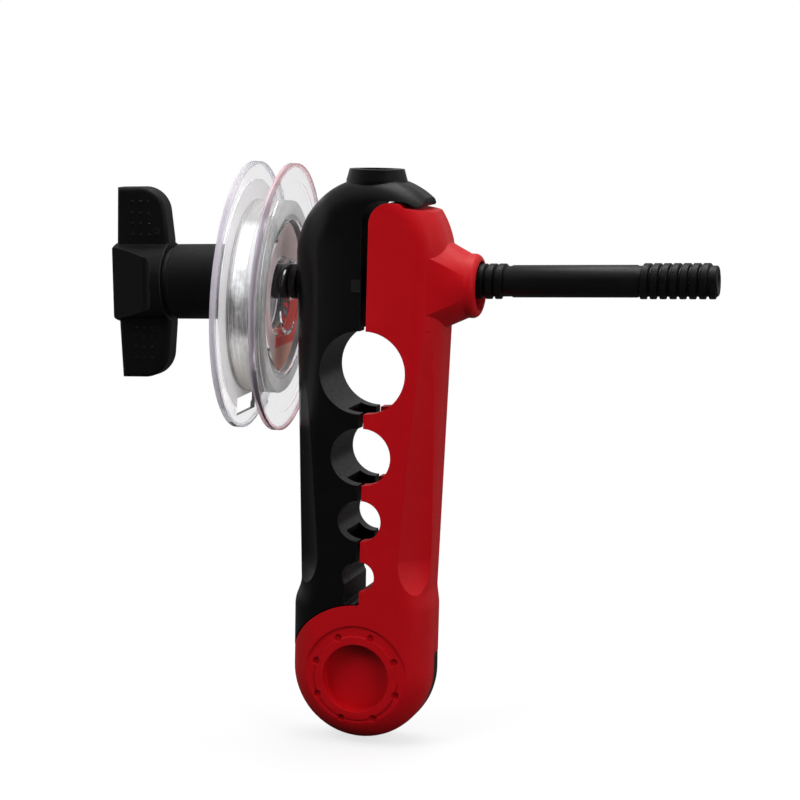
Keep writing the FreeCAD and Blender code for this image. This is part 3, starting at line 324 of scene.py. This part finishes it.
LABEL = label_finish()
STEEL = metal("steel", (0.58, 0.58, 0.60, 1), 0.30, (900, 900, 900), 700)
SPRING_STEEL = metal("spring_steel", (0.42, 0.42, 0.43, 1), 0.36, (600, 600, 3000), 900)
BRASS = metal("brass", (0.72, 0.53, 0.24, 1), 0.32, (900, 2600, 900), 800)

NODE_FINISH = {
    "black_jaw": (BLACK, "black_moulding"), "red_jaw": (RED, "red_moulding"),
    "hinge_screw": (STEEL, "steel"), "hinge_bush": (STEEL, "steel"), "hinge_insert": (BRASS, "brass"),
    "hinge_spring": (SPRING_STEEL, "spring_steel"), "spindle": (SPINDLE_FINISH, "spindle_plastic"),
    "wing_knob": (KNOB, "knob_plastic"), "thrust_sleeve": (KNOB, "knob_plastic"),
    "thrust_washer": (WASHER, "washer_plastic"), "tension_spring": (SPRING_STEEL, "spring_steel"),
    "spool_left_half": (CLEAR, "clear_plastic"), "spool_right_half": (CLEAR, "clear_plastic"),
    "line_core": (LINE, "line"), "line_winding": (LINE, "line"), "spool_label": (LABEL, "label"),
}
for node, (finish, slot) in NODE_FINISH.items():
    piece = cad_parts[node]
    piece.data.materials.clear()
    piece.data.materials.append(finish)


# Pieces

def new_piece(name, points, faces, place, finish, body, sharp=None):
    """Mesh piece from points in millimetres of a local frame."""
    mesh = bpy.data.meshes.new(name)
    mesh.from_pydata([place @ (Vector(p) * MM) for p in points], [], faces)
    mesh.validate()
    mesh.update()
    mesh.materials.append(finish)
    mesh.polygons.foreach_set("use_smooth", [True] * len(mesh.polygons))
    if sharp is not None:
        mesh.set_sharp_from_angle(angle=math.radians(sharp))
    piece = bpy.data.objects.new(name, mesh)
    bpy.context.scene.collection.objects.link(piece)
    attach(piece, body)
    return piece


def lathe(profile, sides):
    """Points and faces of (along, radius) steps turned about X; ends at radius 0 close."""
    points, faces = [], []
    for along, radius in profile:
        for side in range(sides):
            angle = 2 * math.pi * side / sides
            points.append((along, radius * math.cos(angle), radius * math.sin(angle)))
    for ring in range(len(profile) - 1):
        for side in range(sides):
            a, b = ring * sides + side, ring * sides + (side + 1) % sides
            faces.append((a, a + sides, b + sides, b))
    return points, faces


def joined(parts):
    """One list of points and faces from several."""
    points, faces = [], []
    for more_points, more_faces in parts:
        start = len(points)
        points += more_points
        faces += [tuple(start + index for index in face) for face in more_faces]
    return points, faces


def tube(path, radius, sides):
    """Closed tube of (point, frame across, frame up) stations."""
    points, faces = [], []
    for point, across, up in path:
        for side in range(sides):
            angle = 2 * math.pi * side / sides
            points.append(tuple(point + (across * math.cos(angle) + up * math.sin(angle)) * radius))
    for ring in range(len(path) - 1):
        for side in range(sides):
            a, b = ring * sides + side, ring * sides + (side + 1) % sides
            faces.append((a, b, b + sides, a + sides))
    faces.append(tuple(reversed(range(sides))))
    faces.append(tuple(range(len(points) - sides, len(points))))
    return points, faces


def coil_path(radius_at, along_at, turns, per_turn, direction=1, legs=None):
    """Stations of a coil about X, with straight legs in line with its ends."""
    steps = int(turns * per_turn)
    stations = []
    for step in range(steps + 1):
        turn = turns * step / steps
        angle = 2 * math.pi * turn * direction
        out = Vector((0, math.cos(angle), math.sin(angle)))
        stations.append((Vector((along_at(turn), 0, 0)) + out * radius_at(turn), out, Vector((1, 0, 0))))
    if legs:
        (first, second), (before, last) = stations[:2], stations[-2:]
        stations.insert(0, (first[0] + (first[0] - second[0]).normalized() * legs[0], *first[1:]))
        stations.append((last[0] + (last[0] - before[0]).normalized() * legs[1], *last[1:]))
    return stations


# Spindle: plain core with a flat-topped right-hand thread in two zones

PITCH, CREST, ROOT, PLAIN = 2.7, 4.95, 4.25, 4.5
FOOT = ROOT - 0.25
RIDGE = ((-1.22, FOOT), (-0.93, CREST - 0.16), (-0.78, CREST), (0.78, CREST), (0.93, CREST - 0.16),
         (1.22, FOOT))
RIDGE_HALF = 0.95


def thread(first, last, run_out=0.35):
    """Ridge of one start between two places along the spindle, fading in and out."""
    turns = (last - first - 2 * RIDGE_HALF) / PITCH
    steps = int(turns * 56)
    points, faces = [], []
    for step in range(steps + 1):
        turn = turns * step / steps
        angle = -2 * math.pi * (first + turn * PITCH) / PITCH
        fade = max(0.0, min(1.0, turn / run_out, (turns - turn) / run_out))
        middle = first + RIDGE_HALF + turn * PITCH
        for along, radius in RIDGE:
            reach = FOOT + (radius - FOOT) * fade
            points.append((middle + along * (0.6 + 0.4 * fade), reach * math.cos(angle),
                           reach * math.sin(angle)))
    wide = len(RIDGE)
    for step in range(steps):
        for index in range(wide - 1):
            a = step * wide + index
            faces.append((a, a + 1, a + wide + 1, a + wide))
    faces.append(tuple(range(wide)))
    faces.append(tuple(reversed(range(steps * wide, steps * wide + wide))))
    return points, faces


def build_spindle():
    left, right, recess = -71.95, 97.8, 96.6
    core = lathe([
        (left, 0), (left, ROOT - 0.1), (left + 0.3, ROOT), (40.5, ROOT), (41.0, PLAIN), (75.6, PLAIN),
        (76.2, ROOT), (right - 0.3, ROOT), (right, ROOT - 0.3), (right, 2.0), (right - 0.3, 1.6),
        (recess, 0.96), (recess, 0),
    ], 64)
    points, faces = joined([core, thread(left + 0.2, 40.6), thread(75.9, right - 0.05, 0.12)])
    piece = new_piece("spindle_threaded", points, faces, SPINDLE, SPINDLE_FINISH,
                      "spindle", sharp=38)
    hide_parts("spindle")


# Knob: grip dots and eye dimples on both faces of both wings

WING_FACE, SUNK = 3.7, 0.05
DOT_COLUMNS = ((-69.9, 0.62), (-67.45, 0.52), (-65.0, 0.42))
DOT_ROWS = (23.2, 19.9, 16.9, 13.7, -13.1, -15.7, -18.6, -21.8)
DOT_HEIGHT = 0.34
EYE_COLUMN, EYE_ROWS = -62.7, (14.5, -13.5)
EYE = ((1.10, -SUNK), (0.95, 0.20), (0.72, 0.10), (0.55, 0.16), (0.27, 0.16), (0.22, -SUNK), (0.05, -SUNK))


def boss(column, row, profile, sides, facing):
    """Small form on a wing face from (radius, lift) steps, outermost first; facing is -1 for the front."""
    points, faces = [], []
    for radius, lift in profile:
        for side in range(sides):
            angle = 2 * math.pi * side / sides
            points.append((column + radius * math.cos(angle), facing * (WING_FACE + lift),
                           row + radius * math.sin(angle)))
    for ring in range(len(profile) - 1):
        for side in range(sides):
            a, b = ring * sides + side, ring * sides + (side + 1) % sides
            quad = (a, b, b + sides, a + sides)
            faces.append(quad if facing < 0 else quad[::-1])
    return points, faces


def build_knob_dots():
    forms = []
    for facing in (-1, 1):
        for row in DOT_ROWS:
            for column, radius in DOT_COLUMNS:
                angles = [math.pi / 2 * step / 3 for step in range(4)]
                dome = [(radius * math.cos(angle), DOT_HEIGHT * math.sin(angle) - SUNK) for angle in angles]
                forms.append(boss(column, row, dome, 16, facing))
        forms += [boss(EYE_COLUMN, row, EYE, 28, facing) for row in EYE_ROWS]
    points, faces = joined(forms)
    new_piece("knob_grip_dots", points, faces, SPINDLE, KNOB, "knob")


# Line: worn-in drum of turns under one loose outer layer, wound as a single strand

DRUM_HALF, DRUM_RADIUS, HUB_RADIUS, RIDGES = 4.78, 27.3, 23.45, 58
TURN_PITCH, LINE_RADIUS = 0.33, 0.17


def eased(values, place):
    """Smooth value between the entries of a list."""
    index = int(place)
    share = place - index
    share = share * share * (3 - 2 * share)
    return values[index] * (1 - share) + values[index + 1] * share


def build_line():
    rng = random.Random(4)
    turns = (2 * DRUM_HALF - 0.5) / TURN_PITCH
    stops = int(turns) * 6 + 12
    drift = [rng.uniform(-0.09, 0.09) for _ in range(stops)]
    lift = [rng.uniform(-0.07, 0.05) for _ in range(stops)]
    path = coil_path(lambda turn: DRUM_RADIUS + eased(lift, turn * 4),
                     lambda turn: -DRUM_HALF + 0.25 + TURN_PITCH * turn + eased(drift, turn * 5), turns, 84)
    profile = [(-DRUM_HALF, HUB_RADIUS)]
    for ridge in range(RIDGES * 2 + 1):
        along = -DRUM_HALF + DRUM_HALF * ridge / RIDGES
        lifted = (0.05 if ridge % 2 else -0.06) + rng.uniform(-0.03, 0.03)
        profile.append((along, DRUM_RADIUS - 0.16 + lifted))
    profile.append((DRUM_HALF, HUB_RADIUS))
    points, faces = joined([lathe(profile, 96), tube(path, LINE_RADIUS, 6)])
    piece = new_piece("line_on_spool", points, faces, SPOOL, LINE, "spool")
    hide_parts("line_core", "line_winding")


# Springs, hidden inside the hub and the sleeve

def build_springs():
    path = coil_path(lambda turn: 9.2, lambda turn: 1.0 + 1.9 * turn, 3.0, 48, -1, (7.8, 9.0))
    points, faces = tube(path, 0.7, 12)
    # The coil is made along X and stands along Y here: the swap mirrors it, so its faces turn round
    points = [(y, x, z) for x, y, z in points]
    faces = [face[::-1] for face in faces]
    piece = new_piece("hinge_spring_coil", points, faces, HINGE, SPRING_STEEL, "handle")
    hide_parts("hinge_spring")

    first, last, turns = -57.28, -40.42, 7.0
    path = coil_path(lambda turn: 6.8, lambda turn: first + (last - first) * turn / turns, turns, 40)
    points, faces = tube(path, 0.6, 12)
    piece = new_piece("tension_spring_coil", points, faces, SPINDLE, SPRING_STEEL, "sleeve")
    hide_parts("tension_spring")


# Stage

SIDE_LIGHT, BACK_LIGHT, TOP_LIGHT, ROOM_LIGHT = 0.55, 0.35, 0.50, 0.010
FLOOR_HEIGHT, FLOOR_SIZE = -0.0486, 12
LAMP_AIM = (0, 0, 0.04)


def clear_sight(node):
    """1 for what the camera sees, straight or through clear plastic."""
    path = node("ShaderNodeLightPath").outputs
    return node("ShaderNodeMath", {0: path["Is Camera Ray"], 1: path["Is Transmission Ray"]},
                operation="MAXIMUM").outputs[0]


def build_floor():
    """Pale paper, brighter away from the object and dim in reflections."""
    bpy.ops.mesh.primitive_plane_add(size=FLOOR_SIZE, location=(0, 0, FLOOR_HEIGHT))
    floor = bpy.context.object
    floor.name = "floor"
    f = Finish("floor_paper")
    pale = f.mix(f.remap(f.noise(14, 3), 0.3, 0.7, 0, 1), (0.93, 0.93, 0.93, 1), (0.95, 0.95, 0.95, 1))
    sight = clear_sight(f.node)
    f.set(Base_Color=f.mix(sight, (0.05, 0.05, 0.05, 1), pale), Roughness=0.8)
    away = f.vector("LENGTH", f.where, (0, 0, 0), "Value")
    paper = f.node("ShaderNodeEmission", {"Color": (1, 1, 1, 1), "Strength": 1.0})
    share = f.sum("MULTIPLY", f.remap(away, 0.05, 0.30, 0.72, 1.0), sight)
    white = f.node("ShaderNodeMixShader", {
        0: share, 1: f.shader.outputs["BSDF"], 2: paper.outputs["Emission"]})
    f.feed(f.output.inputs["Surface"], white.outputs["Shader"])
    floor.data.materials.append(f.material)


def build_studio():
    """White backdrop with large soft boxes at the sides and above; the room in front is dark."""
    world = bpy.data.worlds.new("studio")
    bpy.context.scene.world = world
    world.use_nodes = True
    world.node_tree.nodes.clear()

    def node(kind, inputs=(), **settings):
        made = world.node_tree.nodes.new(kind)
        for key, value in settings.items():
            setattr(made, key, value)
        for key, value in dict(inputs).items():
            if isinstance(value, bpy.types.NodeSocket):
                world.node_tree.links.new(value, made.inputs[key])
            else:
                made.inputs[key].default_value = value
        return made

    def math_of(kind, first, second=0.0):
        return node("ShaderNodeMath", {0: first, 1: second}, operation=kind).outputs[0]

    def ramp(value, low, high, strength):
        return node("ShaderNodeMapRange", {"Value": value, "From Min": low, "From Max": high,
                                           "To Min": 0.0, "To Max": strength},
                    interpolation_type="SMOOTHSTEP").outputs["Result"]

    way = node("ShaderNodeTexCoord").outputs["Generated"]
    x, y, z = node("ShaderNodeSeparateXYZ", {0: way}).outputs
    sides = ramp(math_of("ABSOLUTE", x), 0.55, 0.95, SIDE_LIGHT)
    back = ramp(y, 0.05, 0.75, BACK_LIGHT)
    above = ramp(z, 0.35, 0.9, TOP_LIGHT)
    level = math_of("ADD", math_of("ADD", sides, back), math_of("ADD", above, ROOM_LIGHT))
    light = node("ShaderNodeBackground", {"Color": (1, 1, 1, 1), "Strength": level})
    seen = node("ShaderNodeBackground", {"Color": (1, 1, 1, 1), "Strength": 1.0})
    both = node("ShaderNodeMixShader", {0: clear_sight(node), 1: light.outputs[0], 2: seen.outputs[0]})
    node("ShaderNodeOutputWorld", {"Surface": both.outputs[0]})


def lamp(name, place, wide, high, watts, mirrored=True):
    data = bpy.data.lights.new(name, "AREA")
    data.shape, data.size, data.size_y, data.energy = "RECTANGLE", wide, high, watts
    made = bpy.data.objects.new(name, data)
    made.location = place
    made.rotation_euler = (Vector(LAMP_AIM) - Vector(place)).to_track_quat("-Z", "Y").to_euler()
    made.visible_glossy = mirrored
    bpy.context.scene.collection.objects.link(made)


make_camera()
build_spindle()
build_knob_dots()
build_line()
build_springs()
build_floor()
build_studio()
lamp("key", (-0.50, -0.70, 0.85), 0.6, 0.6, 6, mirrored=False)
lamp("fill", (0.85, -0.60, 0.45), 0.5, 0.7, 5, mirrored=False)
lamp("top", (0.1, 0.15, 1.1), 0.9, 0.7, 7)

scene = bpy.context.scene
scene.view_settings.view_transform = "Standard"
scene.view_settings.look = "None"
bpy.context.view_layer.update()
